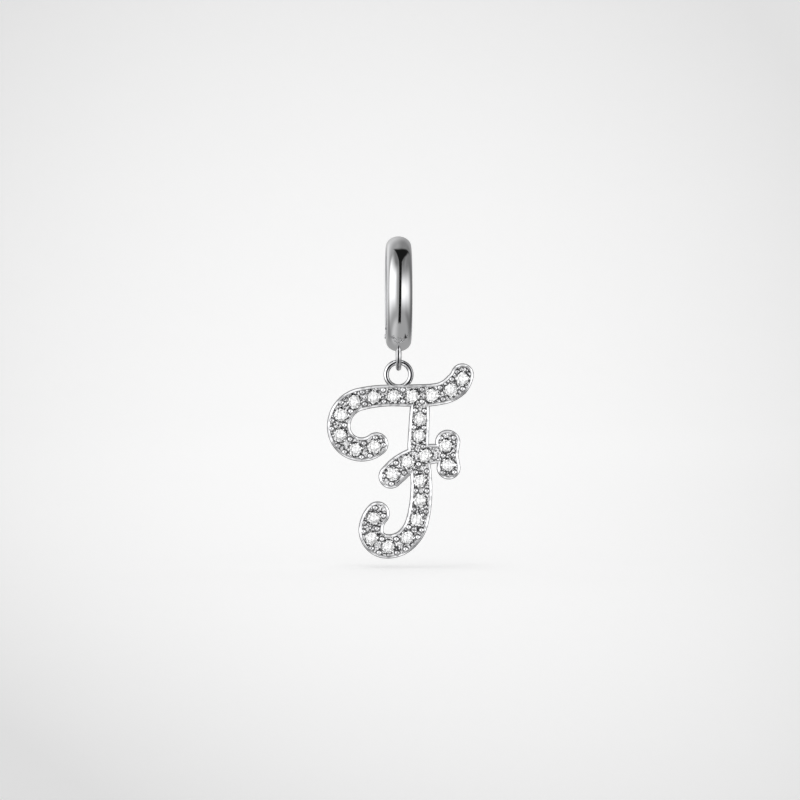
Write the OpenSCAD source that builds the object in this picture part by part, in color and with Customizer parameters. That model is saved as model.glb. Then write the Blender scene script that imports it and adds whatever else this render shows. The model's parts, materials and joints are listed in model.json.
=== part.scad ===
// A pendant: a cursive letter F set with round stones, hanging from a small hinged hoop.
// The origin is the inside top of the hoop, where a chain carries it. The letter faces -Y.

/* [Hoop] */
// Inside diameter of the hoop
hoop_inner_d = 9.1; // [8.9:0.1:9.3]
// Thickness of the hoop's band at its middle
hoop_thick = 1.2; // [1.15:0.05:1.3]
// Width of the hoop's band
hoop_w = 2.5; // [2.4:0.1:2.7]
// Height of the dome on the outside of the band
dome_h = 1.0; // [0.9:0.05:1]
// Bevel along the inside edges of the band
band_bevel = 0.1; // [0.08:0.01:0.14]

/* [Hinge and catch] */
// Place of the hinge, in degrees from the bottom of the hoop towards its rear
hinge_at = 34; // [32:1:38]
// Place of the catch, in degrees from the bottom of the hoop towards its rear
catch_at = 165; // [162:1:168]
// Diameter of the hinge pin
pin_d = 0.5; // [0.45:0.05:0.55]
// Reach of each end of the pin past the sides of the band
pin_reach = 0.07; // [0.04:0.01:0.1]
// Radial clearance of the pin in its bores
pin_clearance = 0.03; // [0.02:0.01:0.05]
// Width of the tongue in the middle of the hinge
tongue_w = 0.94; // [0.85:0.01:1]
// Clearance of the tongue between the ears, on each side
tongue_clearance = 0.03; // [0.02:0.01:0.05]
// Clearance between a knuckle and the metal that it turns in
knuckle_clearance = 0.05; // [0.04:0.01:0.08]
// Gap between the two ends of the hoop at the catch
catch_gap = 0.06; // [0.04:0.01:0.1]
// Length of the catch's tab
tab_l = 0.6; // [0.5:0.05:0.65]
// Thickness of the catch's tab
tab_t = 0.32; // [0.28:0.01:0.36]
// Clearance round the catch's tab
tab_clearance = 0.05; // [0.04:0.01:0.07]

/* [Loop and ring] */
// Diameter of the wire of the loop and of the ring
wire_d = 0.55; // [0.5:0.01:0.6]
// Outside diameter of the loop and of the ring
link_od = 3.02; // [2.96:0.02:3.1]
// Depth of the loop's wire in the hoop, from the hoop's lowest line
loop_sink = 0.81; // [0.74:0.01:0.9]
// Gap between the ring and the loop that carries it
link_gap = 0.03; // [0.02:0.01:0.05]

/* [Letter] */
// Height of the letter without its ring
letter_h = 19.5; // [19.2:0.1:20]
// Thickness of the letter
letter_t = 1.5; // [1.4:0.05:1.6]
// Width of the polished rim
rim_w = 0.3; // [0.26:0.01:0.34]
// Depth of the field below the rim
field_depth = 0.13; // [0.1:0.01:0.16]

/* [Stones] */
// Diameter of a stone
stone_d = 1.55; // [1.5:0.01:1.58]
// Height of a stone's crown
crown_h = 0.19; // [0.16:0.01:0.22]
// Height of a stone's girdle
girdle_h = 0.04; // [0.03:0.01:0.05]
// Depth of a stone's pavilion
pavilion_h = 0.68; // [0.6:0.01:0.7]
// Depth of the girdle's upper edge below the field
girdle_sink = 0.03; // [0.02:0.01:0.05]
// Clearance between a stone and its seat
seat_clearance = 0.02; // [0.02:0.01:0.03]
// Diameter of the open back behind a stone
back_hole_d = 0.7; // [0.6:0.05:0.8]
// Diameter of a bead prong
bead_d = 0.7; // [0.64:0.02:0.74]
// Height of the beads above the rim
bead_rise = 0.1; // [0.06:0.01:0.12]

/* [Hidden] */
$fn = 64;
hoop_inner_r = hoop_inner_d / 2;
hoop_outer_r = hoop_inner_r + hoop_thick;
hoop_mid_r = hoop_inner_r + hoop_thick / 2;
knuckle_r = 0.54 * hoop_thick;
knuckle_angle = 12;
knuckle_space = knuckle_r + knuckle_clearance;
slot_w = tongue_w + 2 * tongue_clearance;
catch_gap_angle = catch_gap / 2 / hoop_mid_r * 180 / PI;
tab_wall = 0.17 * hoop_thick;
tab_w = 0.44 * hoop_w;
tab_root = 0.33 * hoop_thick;
tab_lift = 0.35 * hoop_thick;
dome_steps = 16;
over = hoop_thick;
link_r = (link_od - wire_d) / 2;
hoop_bottom_z = -hoop_inner_r - hoop_outer_r;
loop_z = hoop_bottom_z + loop_sink - link_r;
ring_top_z = loop_z - link_r + wire_d + link_gap;
ring_z = ring_top_z - link_r;

// The letter's own frame: x to the right, y up, z towards the viewer, with the ring's middle at 0.
front_z = letter_t / 2;
field_z = front_z - field_depth;
girdle_z = field_z - girdle_sink;
stone_r = stone_d / 2;
facet_turn = 22.5;
table_r = 0.68 * stone_r;
crown_mid_r = 0.88 * stone_r;
crown_mid_z = crown_h * (stone_r - crown_mid_r * cos(facet_turn)) / (stone_r - table_r);
pavilion_mid_r = 0.45 * stone_r;
pavilion_mid_z = pavilion_h * (1 - pavilion_mid_r * cos(facet_turn) / stone_r);
bead_r = bead_d / 2;
bead_z = front_z + bead_rise - bead_r;

// A stroke of the letter is a middle line of arcs. Lengths are shares of the letter's height, in percent.
// start: x, y, heading in degrees, half-width. rows: length, turn in degrees, half-width at the row's end.
// stones: place along the middle line in percent of its length, and shift to the left of it.
// beads: place in stone steps, and distance from the middle line as a share of the half-width.
share = letter_h / 100;
arc_step = 9;
end_steps = 10;

flag_and_bar = [
    [32.7, -0.1, 253.5, 5.8],
    [
        [6.0, -28, 6.4],
        [9.9, -34.5, 5.7],
        [9.1, -10.7, 5.8],
        [15.3, -0.8, 5.5],
        [16.7, 14, 5.8],
        [20.8, 84, 6.0],
        [17.9, 88, 6.15],
        [7.2, 34, 6.0]
    ],
    [
        [1.7, 0.8], [9.7, 0.15], [19.4, 0.3], [29.2, 0.4], [38.6, 0.4], [48.5, 0.25],
        [58.6, 0.1], [68.1, 0], [78.2, -0.2], [88.8, -0.35], [98.3, -0.35]
    ],
    [
        [0.68, 0.5], [0.68, -0.5], [1.45, -0.58], [1.45, 0.6],
        [2.5, -0.53], [2.5, 0.53], [3.5, -0.53], [3.5, 0.53],
        [4.5, -0.53], [4.5, 0.53], [5.5, -0.53], [5.5, 0.53],
        [6.5, -0.55], [6.5, 0.53], [7.5, -0.6], [7.5, 0.53],
        [8.34, -0.63], [8.66, -0.63], [8.5, 0.5],
        [9.34, -0.63], [9.66, -0.63], [9.5, 0.5],
        [10.33, -0.63], [10.67, -0.63], [10.5, 0.5],
        [11.4, 0.48], [11.4, -0.48]
    ]
];

stem = [
    [11.2, -10.8, 267, 4.9],
    [
        [24.2, 0.7, 5.4],
        [9.3, 11.6, 5.4],
        [9.3, -6.6, 5.4],
        [10.4, -6.9, 5.6],
        [12.0, -11, 5.8],
        [11.4, -35.8, 5.9],
        [10.9, -46, 6.2],
        [12.5, -86, 6.3],
        [9.0, -40, 6.1]
    ],
    [
        [11.0, 0.4], [18.9, 0.2], [40.1, -0.9], [49.4, -0.55], [58.8, -0.5],
        [68.6, -0.5], [79.0, 0.2], [87.8, 0.7], [97.2, 0.25]
    ],
    [
        [0.5, -0.45], [0.5, 0.5], [1.5, -0.5], [1.5, 0.5], [2.24, -0.56], [2.24, 0.5],
        [2.8, -0.5], [2.8, 0.6], [3.5, -0.53], [3.5, 0.53], [4.5, -0.55], [4.5, 0.6],
        [5.5, -0.53], [5.36, 0.62], [5.68, 0.62], [6.5, -0.5], [6.34, 0.63], [6.66, 0.63],
        [7.5, -0.5], [7.34, 0.63], [7.66, 0.63], [8.5, -0.5], [8.34, 0.63], [8.66, 0.63],
        [9.45, -0.48], [9.4, 0.5]
    ]
];

cross_arm = [
    [-4.0, -52.2, 44.5, 6.2],
    [
        [4.8, -1, 6.4],
        [22.6, -42.5, 4.9],
        [4.1, 0, 5.0]
    ],
    [[5.1, 0.2], [36.5, 0.2], [66.4, -0.3]],
    [
        [0.6, -0.48], [0.6, 0.48], [1.5, -0.53], [1.5, 0.53], [2.5, -0.6]
    ]
];

bow = [
    [25.2, -34.7, -88, 6.35],
    [
        [6.5, 0, 5.1],
        [6.5, 0, 6.05]
    ],
    [[13.3, -1.1], [89.8, -0.2]],
    [
        [0.6, 0.48], [0.6, -0.5], [1.5, 0.53], [1.5, -0.5], [2.38, 0.45], [2.38, -0.45]
    ]
];

strokes = [flag_and_bar, stem, cross_arm, bow];

function start_of(stroke) = stroke[0];
function rows_of(stroke) = stroke[1];
function stones_of(stroke) = stroke[2];
function beads_of(stroke) = stroke[3];

// Where an arc leads: state is [x, y, heading, half-width], all lengths in percent of the height.
function along(state, length, turn, half_w) =
    let (
        bend = turn * PI / 180,
        h = state[2],
        step = abs(turn) < 0.01
            ? length * [cos(h), sin(h)]
            : length / bend * [sin(h + turn) - sin(h), cos(h) - cos(h + turn)]
    )
    [state[0] + step[0], state[1] + step[1], h + turn, half_w];

// The states at the ends of the rows.
function row_ends(state, rows, i = 0) =
    i == len(rows)
        ? [state]
        : concat([state], row_ends(along(state, rows[i][0], rows[i][1], rows[i][2]), rows, i + 1));

function length_of(rows, i = 0) = i == len(rows) ? 0 : rows[i][0] + length_of(rows, i + 1);

// The state at a distance along a stroke, also a little before its start or past its end.
function state_at(state, rows, distance, i = 0) =
    distance > rows[i][0] && i < len(rows) - 1
        ? state_at(along(state, rows[i][0], rows[i][1], rows[i][2]), rows, distance - rows[i][0], i + 1)
        : let (part = distance / rows[i][0])
          along(state, distance, rows[i][1] * part, state[3] + part * (rows[i][2] - state[3]));

function stroke_at(stroke, percent) =
    state_at(start_of(stroke), rows_of(stroke), percent / 100 * length_of(rows_of(stroke)));

// A point beside the middle line, in millimetres; positive is to the left of the heading.
function beside(state, aside) =
    share * [state[0] - aside * sin(state[2]), state[1] + aside * cos(state[2])];

// Close steps along a stroke: each row in arcs of arc_step degrees or less.
function steps_of(stroke) =
    let (rows = rows_of(stroke), ends = row_ends(start_of(stroke), rows))
    concat(
        [
            for (i = [0:len(rows) - 1])
                let (n = max(1, ceil(abs(rows[i][1]) / arc_step)))
                for (k = [0:n - 1])
                    along(ends[i], rows[i][0] * k / n, rows[i][1] * k / n,
                        ends[i][3] + (rows[i][2] - ends[i][3]) * k / n)
        ],
        [ends[len(rows)]]
    );

// Half a circle round the end of a stroke, from its left side when first_side is 1.
function round_end(state, from_angle, cut) =
    [
        for (k = [1:end_steps - 1])
            let (a = state[2] + from_angle - 180 * k / end_steps, r = state[3] - cut)
            share * [state[0] + r * cos(a), state[1] + r * sin(a)]
    ];

// The outline of a stroke, drawn in by an inset in millimetres.
function outline(stroke, inset) =
    let (steps = steps_of(stroke), n = len(steps), cut = inset / share)
    concat(
        [for (s = steps) beside(s, s[3] - cut)],
        round_end(steps[n - 1], 90, cut),
        [for (i = [n - 1:-1:0]) beside(steps[i], cut - steps[i][3])],
        round_end(steps[0], -90, cut)
    );

// Where the stones and the beads of a stroke sit.
function stone_places(stroke) =
    [for (p = stones_of(stroke)) beside(stroke_at(stroke, p[0]), p[1])];

function step_percent(stroke, step) =
    let (p = stones_of(stroke), i = max(0, min(len(p) - 2, floor(step) - 1)))
    p[i][0] + (step - 1 - i) * (p[i + 1][0] - p[i][0]);

function bead_places(stroke) =
    [
        for (b = beads_of(stroke))
            let (s = stroke_at(stroke, step_percent(stroke, b[0])))
            beside(s, b[1] * s[3])
    ];

stone_spots = [for (stroke = strokes) each stone_places(stroke)];
bead_spots = [for (stroke = strokes) each bead_places(stroke)];

function stone_name(i) = str("stone_", i < 9 ? "0" : "", i + 1);

// Turns the hoop's own frame, axis along z and x downwards, to its place.
module hoop_place() {
    translate([0, 0, -hoop_inner_r]) rotate([0, 90, 0]) children();
}

// The letter's own frame, brought under the loop.
module letter_place() {
    translate([0, 0, ring_z]) rotate([90, 0, 0]) children();
}

// A frame on the band's middle line: x outwards, y along the band, z across it.
module on_band(angle) {
    rotate([0, 0, angle]) translate([hoop_mid_r, 0, 0]) children();
}

// The section of the band: a dome on a short wall, with bevelled inside edges.
module band_section() {
    half_w = hoop_w / 2;
    dome_base = hoop_outer_r - dome_h;
    dome = [
        for (k = [0:dome_steps])
            let (a = 180 * k / dome_steps - 90)
            [dome_base + dome_h * cos(a), half_w * sin(a)]
    ];
    polygon(concat(
        [[hoop_inner_r, half_w - band_bevel], [hoop_inner_r, band_bevel - half_w]],
        [[hoop_inner_r + band_bevel, -half_w]],
        dome,
        [[hoop_inner_r + band_bevel, half_w]]
    ));
}

module band(from_angle, to_angle) {
    rotate([0, 0, from_angle])
        rotate_extrude(angle = to_angle - from_angle) band_section();
}

// What is cut away beyond the pin, on the given side of it, so that a round knuckle is left.
module beyond_pin(side) {
    reach = 2 * hoop_thick;
    on_band(hinge_at) difference() {
        translate([-reach, min(0, side * reach), -hoop_w]) cube([2 * reach, reach, 2 * hoop_w]);
        cylinder(r = knuckle_r, h = 3 * hoop_w, center = true);
    }
}

// The bore of the hinge pin.
module pin_bore() {
    on_band(hinge_at) cylinder(d = pin_d + 2 * pin_clearance, h = hoop_w + over, center = true);
}

module wire_ring() {
    rotate_extrude() translate([link_r, 0]) circle(d = wire_d);
}

// The C-shaped front of the hoop, with the loop soldered under it.
module hoop_front() {
    color("gainsboro") {
        hoop_place() difference() {
            band(catch_at + catch_gap_angle, 360 + hinge_at + knuckle_angle);
            beyond_pin(1);
            tongue_slot();
            pin_bore();
            rotate([0, 0, catch_at]) catch_pocket();
        }
        translate([0, 0, loop_z]) rotate([0, 90, 0]) wire_ring();
    }
}

// The slot between the ears, where the tongue turns.
module tongue_slot() {
    on_band(hinge_at) translate([-hoop_thick, -knuckle_space, -slot_w / 2])
        cube([2 * hoop_thick, 2 * hoop_thick, slot_w]);
}

// The pocket leaves the tab room to rise as the gate swings out.
module catch_pocket() {
    translate([hoop_inner_r + tab_wall - tab_clearance, -over / 2, -tab_w / 2 - tab_clearance])
        cube([
            tab_t + tab_lift + 2 * tab_clearance,
            over / 2 + catch_gap / 2 + tab_l + tab_clearance,
            tab_w + 2 * tab_clearance
        ]);
}

// The rear leaf of the hoop, with the tongue of the hinge and the tab of the catch.
module hoop_gate() {
    color("gainsboro") hoop_place() difference() {
        union() {
            band(hinge_at - knuckle_angle, catch_at - catch_gap_angle);
            rotate([0, 0, catch_at]) catch_tab();
        }
        beyond_pin(-1);
        for (side = [-1, 1]) beside_tongue(side);
        pin_bore();
    }
}

// The room of an ear beside the tongue.
module beside_tongue(side) {
    on_band(hinge_at) translate([0, 0, side * (tongue_w + hoop_w) / 2])
        cube([2 * hoop_thick, 2 * knuckle_space, hoop_w], center = true);
}

module catch_tab() {
    translate([hoop_inner_r + tab_wall, -catch_gap / 2 - tab_root, -tab_w / 2])
        cube([tab_t, tab_root + catch_gap / 2 + tab_l, tab_w]);
}

// The pin stands a little proud of the band on both sides.
module hinge_pin() {
    pin_l = hoop_w + 2 * pin_reach;
    color("silver") hoop_place() on_band(hinge_at) cylinder(d = pin_d, h = pin_l, center = true);
}

// All strokes as one solid between two heights.
module strokes_between(inset, from_z, to_z) {
    translate([0, 0, from_z]) linear_extrude(to_z - from_z)
        for (stroke = strokes) polygon(outline(stroke, inset));
}

// The space of a stone with its clearance, and the open back behind it.
module seat() {
    c = seat_clearance;
    rotate_extrude() polygon([
        [0, -front_z - girdle_z - over],
        [back_hole_d / 2, -front_z - girdle_z - over],
        [back_hole_d / 2, -girdle_h - pavilion_h * (1 - back_hole_d / 2 / stone_r) - c],
        [stone_r + c, -girdle_h - c],
        [stone_r + c, girdle_sink],
        [crown_mid_r + 2 * c, crown_mid_z + c],
        [table_r + 2 * c, crown_h + c],
        [0, crown_h + c]
    ]);
}

// The cast letter: field, beads and seats in a rimmed plate, with the ring soldered on top.
module letter() {
    color("silver") letter_place() difference() {
        union() {
            difference() {
                strokes_between(0, -front_z, front_z);
                strokes_between(rim_w, field_z, front_z + over);
            }
            wire_ring();
            for (p = bead_spots) translate([p[0], p[1], bead_z]) sphere(r = bead_r);
        }
        for (p = stone_spots) translate([p[0], p[1], girdle_z]) seat();
    }
}

// A round brilliant: table, stars, kites and girdle facets above, mains and halves below.
module brilliant() {
    under = -girdle_h;
    function eighth(r, z, first) = [
        for (k = [0:7]) [r * cos(2 * facet_turn * k + first), r * sin(2 * facet_turn * k + first), z]
    ];
    function girdle(z) = [
        for (k = [0:15]) [stone_r * cos(facet_turn * k), stone_r * sin(facet_turn * k), z]
    ];
    points = concat(
        eighth(table_r, crown_h, 0),
        eighth(crown_mid_r, crown_mid_z, facet_turn),
        girdle(0),
        girdle(under),
        eighth(pavilion_mid_r, under - pavilion_mid_z, facet_turn),
        [[0, 0, under - pavilion_h]]
    );
    function table(k) = (k + 8) % 8;
    function crown_mid(k) = 8 + (k + 8) % 8;
    function upper(k) = 16 + (k + 16) % 16;
    function lower(k) = 32 + (k + 16) % 16;
    function pavilion_mid(k) = 48 + (k + 8) % 8;
    culet = 56;
    faces = concat(
        [[for (k = [7:-1:0]) table(k)]],
        [for (k = [0:7]) [table(k), table(k + 1), crown_mid(k)]],
        [for (k = [0:7]) [table(k), crown_mid(k), upper(2 * k), crown_mid(k - 1)]],
        [for (k = [0:7]) [crown_mid(k), upper(2 * k + 1), upper(2 * k)]],
        [for (k = [0:7]) [crown_mid(k), upper(2 * k + 2), upper(2 * k + 1)]],
        [for (k = [0:15]) [upper(k), upper(k + 1), lower(k + 1), lower(k)]],
        [for (k = [0:7]) [pavilion_mid(k), lower(2 * k), lower(2 * k + 1)]],
        [for (k = [0:7]) [pavilion_mid(k), lower(2 * k + 1), lower(2 * k + 2)]],
        [for (k = [0:7]) [culet, pavilion_mid(k - 1), lower(2 * k), pavilion_mid(k)]]
    );
    polyhedron(points, faces);
}

module stone(i) {
    color("white") letter_place()
        translate([stone_spots[i][0], stone_spots[i][1], girdle_z]) brilliant();
}

hoop_front();
hoop_gate();
hinge_pin();
letter();
for (i = [0:len(stone_spots) - 1])
    stone(i);
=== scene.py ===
# %% [markdown]
# # A letter pendant on a hinged hoop
# The object is a cursive letter F in cast silver, set with small round stones.
# It hangs from a loop that is soldered under a hinged hoop. This lesson dresses
# the plain solids of the frame with smooth metal and clear stones.

# %% Load the frame
import json
import math
import bpy
import bmesh
from mathutils import Matrix, Vector


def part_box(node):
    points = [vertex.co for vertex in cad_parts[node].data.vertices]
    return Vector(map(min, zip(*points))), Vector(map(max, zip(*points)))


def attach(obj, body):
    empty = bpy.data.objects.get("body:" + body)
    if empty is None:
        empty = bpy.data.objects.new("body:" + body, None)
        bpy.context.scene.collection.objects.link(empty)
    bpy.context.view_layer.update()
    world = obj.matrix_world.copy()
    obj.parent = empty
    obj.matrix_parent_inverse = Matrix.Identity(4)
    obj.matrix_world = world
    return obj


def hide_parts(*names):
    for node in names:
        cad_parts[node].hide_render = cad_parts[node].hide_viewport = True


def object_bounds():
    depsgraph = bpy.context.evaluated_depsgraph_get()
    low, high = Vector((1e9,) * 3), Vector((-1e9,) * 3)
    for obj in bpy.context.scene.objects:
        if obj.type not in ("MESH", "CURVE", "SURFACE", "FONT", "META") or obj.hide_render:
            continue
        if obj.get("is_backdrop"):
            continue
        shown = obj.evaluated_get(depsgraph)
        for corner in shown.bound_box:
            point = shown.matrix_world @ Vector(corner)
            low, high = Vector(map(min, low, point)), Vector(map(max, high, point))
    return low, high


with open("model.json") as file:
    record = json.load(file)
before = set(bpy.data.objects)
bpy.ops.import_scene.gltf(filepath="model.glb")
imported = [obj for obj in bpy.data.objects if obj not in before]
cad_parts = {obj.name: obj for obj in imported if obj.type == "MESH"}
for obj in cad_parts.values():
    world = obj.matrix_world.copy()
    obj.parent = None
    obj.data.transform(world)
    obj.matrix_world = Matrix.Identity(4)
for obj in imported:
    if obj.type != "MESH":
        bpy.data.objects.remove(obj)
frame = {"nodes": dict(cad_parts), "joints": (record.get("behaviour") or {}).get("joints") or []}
cad_low, cad_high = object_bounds()
MM = 0.001

# %% [markdown]
# ## Sizes
# Most sizes are read from the frame, so that each new piece lands where its
# solid is. The few that a box can't tell are named here in metres.

# %% Sizes of the hoop
joints = {joint["name"]: joint for joint in frame["joints"]}
hinge = Vector(joints["gate_hinge"]["pos_m"])
hang = Vector(joints["letter_swing"]["pos_m"])
front_low, front_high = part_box("hoop_front")
letter_low, letter_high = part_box("letter")
HOOP_OUTER = -front_low.y
BAND_T = front_high.z
HOOP_INNER = HOOP_OUTER - BAND_T
HOOP_MID = HOOP_OUTER - BAND_T / 2
BAND_HALF = front_high.x
DOME = 1.0 * MM
BEVEL = 0.1 * MM
HOOP_CENTRE = Vector((0, 0, -HOOP_INNER))
HINGE_AT = math.degrees(math.atan2(hinge.y, HOOP_CENTRE.z - hinge.z))
CATCH_AT = 165
CATCH_GAP = 0.06 * MM
print(f"hoop {2 * HOOP_OUTER / MM:.2f} mm across, hinge at {HINGE_AT:.1f} degrees")

# %% Sizes of the loop, the ring and the letter
WIRE_R = letter_high.z - hang.z
LINK_R = 1.235 * MM
LOOP_Z = front_low.z + WIRE_R + LINK_R
RING_Z = hang.z - LINK_R
FRONT = letter_high.y
BEAD_TOP = -letter_low.y
BEAD_R = 0.35 * MM
RIM_W = 0.3 * MM
FIELD = FRONT - 0.13 * MM
GIRDLE = FIELD - 0.03 * MM
SHARE = 19.5 * MM / 100
print(f"wire {2 * WIRE_R / MM:.2f} mm, letter {2 * FRONT / MM:.2f} mm thick")

# %% [markdown]
# ## Camera
# The picture was taken from a little to the left of the front with a long
# lens, so the pendant shows almost no perspective. A point in the picture is
# turned into a place by one scale, ten pixels for each millimetre.

# %% The camera
AZIMUTH, ELEVATION = math.radians(-1.7), math.radians(1.2)
LENS, SENSOR = 200.0, 36.0
PIXEL = 0.1 * MM
AXIS_PX, ORIGIN_PX, PICTURE = 398.5, 248.4, 800

aim = Vector(((PICTURE / 2 - AXIS_PX) * PIXEL, 0, (ORIGIN_PX - PICTURE / 2) * PIXEL))
back = Vector((
    math.sin(AZIMUTH) * math.cos(ELEVATION),
    -math.cos(AZIMUTH) * math.cos(ELEVATION),
    math.sin(ELEVATION),
))
distance = PICTURE * PIXEL * LENS / SENSOR
camera = bpy.data.objects.new("camera", bpy.data.cameras.new("camera"))
camera.data.lens, camera.data.sensor_width = LENS, SENSOR
camera.data.clip_start, camera.data.clip_end = 0.01, 5
camera.location = aim + back * distance
camera.rotation_euler = (-back).to_track_quat("-Z", "Y").to_euler()
bpy.context.scene.collection.objects.link(camera)
bpy.context.scene.camera = camera
print(f"camera {distance:.3f} m away")

# %% [markdown]
# ## Shader maths
# A Math node for each sum is tedious by hand. A small class wraps a socket, so
# that an expression such as `1 - mask * 0.3` adds the nodes by itself.

# %% A socket that takes part in sums
class Value:
    def __init__(self, net, socket):
        self.net, self.socket = net, socket

    def math(self, operation, *others):
        made = self.net.add("ShaderNodeMath", {"operation": operation}, dict(enumerate((self, *others))))
        return self.net.out(made, 0)

    def __add__(self, other):
        return self.math("ADD", other)

    def __mul__(self, other):
        return self.math("MULTIPLY", other)

    def __sub__(self, other):
        return self.math("SUBTRACT", other)

    def __rsub__(self, other):
        return (self * -1) + other

    def __truediv__(self, other):
        return self.math("DIVIDE", other)

    __radd__ = __add__
    __rmul__ = __mul__

    def step(self, low, high):
        """0 below low and 1 above high, smooth between them."""
        made = self.net.add(
            "ShaderNodeMapRange", {"interpolation_type": "SMOOTHSTEP"}, {0: self, 1: low, 2: high}
        )
        return self.net.out(made, 0)

    def window(self, start, full, last, end):
        """0 up to start, 1 from full to last, and 0 again from end on."""
        return self.step(start, full) * (1 - self.step(last, end))

    def between(self, low, high, soft):
        """1 between low and high, falling to 0 over a soft edge outside them."""
        return self.window(low - soft, low, high, high + soft)


# %% A net of nodes
class Net:
    def __init__(self, tree):
        self.tree = tree
        tree.nodes.clear()

    def add(self, kind, settings=None, values=None):
        made = self.tree.nodes.new(kind)
        for name, value in (settings or {}).items():
            setattr(made, name, value)
        for name, value in (values or {}).items():
            if isinstance(value, Value):
                self.tree.links.new(value.socket, made.inputs[name])
            else:
                made.inputs[name].default_value = value
        return made

    def out(self, made, name):
        return Value(self, made.outputs[name])

    def noise(self, scale, detail=2.0, stretch=(1, 1, 1)):
        """A noise from 0 to 1, in features of 1 / scale metres."""
        where = self.out(self.add("ShaderNodeTexCoord"), "Object")
        mapping = self.add("ShaderNodeMapping", {}, {"Vector": where, "Scale": stretch})
        made = self.add(
            "ShaderNodeTexNoise",
            {},
            {"Vector": self.out(mapping, 0), "Scale": scale, "Detail": detail},
        )
        return self.out(made, 0)

    def mix(self, factor, first, second):
        """A colour between two others."""
        made = self.add(
            "ShaderNodeMix", {"data_type": "RGBA"}, {0: factor, 6: first, 7: second}
        )
        return self.out(made, 2)


def new_material(name):
    material = bpy.data.materials.new(name)
    material.use_nodes = True
    return material, Net(material.node_tree)


def finish_material(net, values):
    """A Principled shader with these values, joined to the output."""
    shader = net.add("ShaderNodeBsdfPrincipled", {}, values)
    net.add("ShaderNodeOutputMaterial", {}, {"Surface": net.out(shader, 0)})


# %% [markdown]
# ## What the metal sees
# Polished silver has no look of its own: it shows the room. A photographer
# stands a bright box on each side and leaves a dark gap between them, and that
# gap is the dark line down the middle of the hoop. Here the world is painted
# by direction, so the metal and the stones see that studio. Turn is the angle
# round from the camera's side to the right, and rise the angle above the floor,
# both in degrees. Across, ahead and up are the parts of the direction. Lamps
# could stand there instead, but a painted room has less noise, and the edge of
# each reflection can be put where the photo shows it.

# %% The studio round the metal
FRONT_GREY, SIDE_GREY, FLOOR_LIFT, BACK_LIFT, BOX, DARK = 0.36, 0.17, 0.24, 0.25, 1.25, 0.01

world = bpy.data.worlds.new("studio")
bpy.context.scene.world = world
world.use_nodes = True
net = Net(world.node_tree)
coordinates = net.add("ShaderNodeTexCoord")
parts = net.add("ShaderNodeSeparateXYZ", {}, {0: net.out(coordinates, "Generated")})
across, ahead, up = (net.out(parts, i) for i in range(3))
turn = across.math("ARCTAN2", ahead * -1) * (180 / math.pi)
rise = up.math("ARCSINE") * (180 / math.pi)

left_box = turn.window(-112, -92, -44, -14) * rise.window(-38, 4, 28, 62)
right_box = turn.window(9, 14, 58, 112) * rise.window(-38, 4, 6, 46)
left_floor = across.step(0.0, -0.5) * (1 - rise.step(-58, -40)) * FLOOR_LIFT
right_side = across.step(0.45, 0.85) * up.window(-0.8, -0.5, 0.7, 0.9)
back_wall = ahead.step(0.2, 0.8) * rise.window(-12, 4, 30, 60) * BACK_LIFT
level = FRONT_GREY + left_floor + back_wall * (1 - across.step(-0.2, 0.3))
level = level + right_side * (SIDE_GREY - FRONT_GREY)
level = level + (left_box + right_box) * (BOX - FRONT_GREY)


# %% [markdown]
# The room behind is brighter on the left and dimmer low down on both sides.
# Overhead it is dimmer, behind on the right and round the end of the gap.
# The dark gap itself leans a little to the right as it runs up the middle and
# over the top. It widens above the hoop, more on the right than on the left,
# and its end is curved so that the hoop shows it as a level edge.

# %% The sides behind and the ceiling
LEFT_LIFT, LOW_SHADE, LOW_LEAN = 0.17, 0.33, 0.12
OVER_SHADE, END_SHADE = 0.13, 0.17

left_wall = across.step(-0.25, -0.45) * ahead.step(0.3, 0.65) * up.window(-0.2, 0.0, 0.35, 0.55)
low = (up - across * LOW_LEAN).window(-0.65, -0.45, -0.22, -0.12)
low_sides = across.math("ABSOLUTE").step(0.4, 0.65) * ahead.step(0.2, 0.5) * low
level = (level + left_wall * LEFT_LIFT) * (1 - low_sides * LOW_SHADE)
over_right = across.window(-0.15, 0.25, 0.5, 0.8) * ahead.window(-0.45, 0.1, 0.6, 0.95)
over_end = across.window(-0.6, -0.35, 0.4, 0.65) * ahead.window(-0.75, -0.35, 0.1, 0.35)
level = level - (over_right * OVER_SHADE + over_end * END_SHADE) * up.step(0.0, 0.3)

# %% The dark gap
GAP_LEFT, GAP_RIGHT, GAP_LEAN, END_CURVE = 0.12, 0.19, 0.06, 0.85
SPREAD_LEFT, SPREAD_RIGHT, SPREAD_LESS = 0.5, 0.72, 0.5

aside = across - up * GAP_LEAN
spread = (ahead + 0.36).math("MAXIMUM", 0)
left_edge = GAP_LEFT + spread * SPREAD_LEFT
right_edge = GAP_RIGHT + spread * SPREAD_RIGHT - (ahead - 0.15).math("MAXIMUM", 0) * SPREAD_LESS
gap = aside.window(left_edge * -1.12, left_edge * -0.9, right_edge * 0.92, right_edge * 1.08)
end = ahead - across * across * END_CURVE
gap = gap * up.step(-0.9, -0.84) * (1 - end.step(0.14, 0.25))
level = level * (1 - gap) + gap * DARK
sky = net.add("ShaderNodeBackground", {}, {"Color": (1, 1, 1, 1), "Strength": level})
net.add("ShaderNodeOutputWorld", {}, {"Surface": net.out(sky, 0)})
world.cycles_visibility.diffuse = False
world.cycles.sampling_method = "NONE"
print("world painted with", len(world.node_tree.nodes), "nodes")

# %% [markdown]
# ## Floor and light
# A pale bowl stands round the pendant: a flat floor just under the letter that
# curves up into a wall on every side, so no edge shows from any view. It is
# hidden from mirror rays, because the metal sees the studio instead. The later
# pieces are built by the same few helpers: one makes a mesh, one joins rings of
# points into a solid, and one turns a profile as a lathe does.

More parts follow.
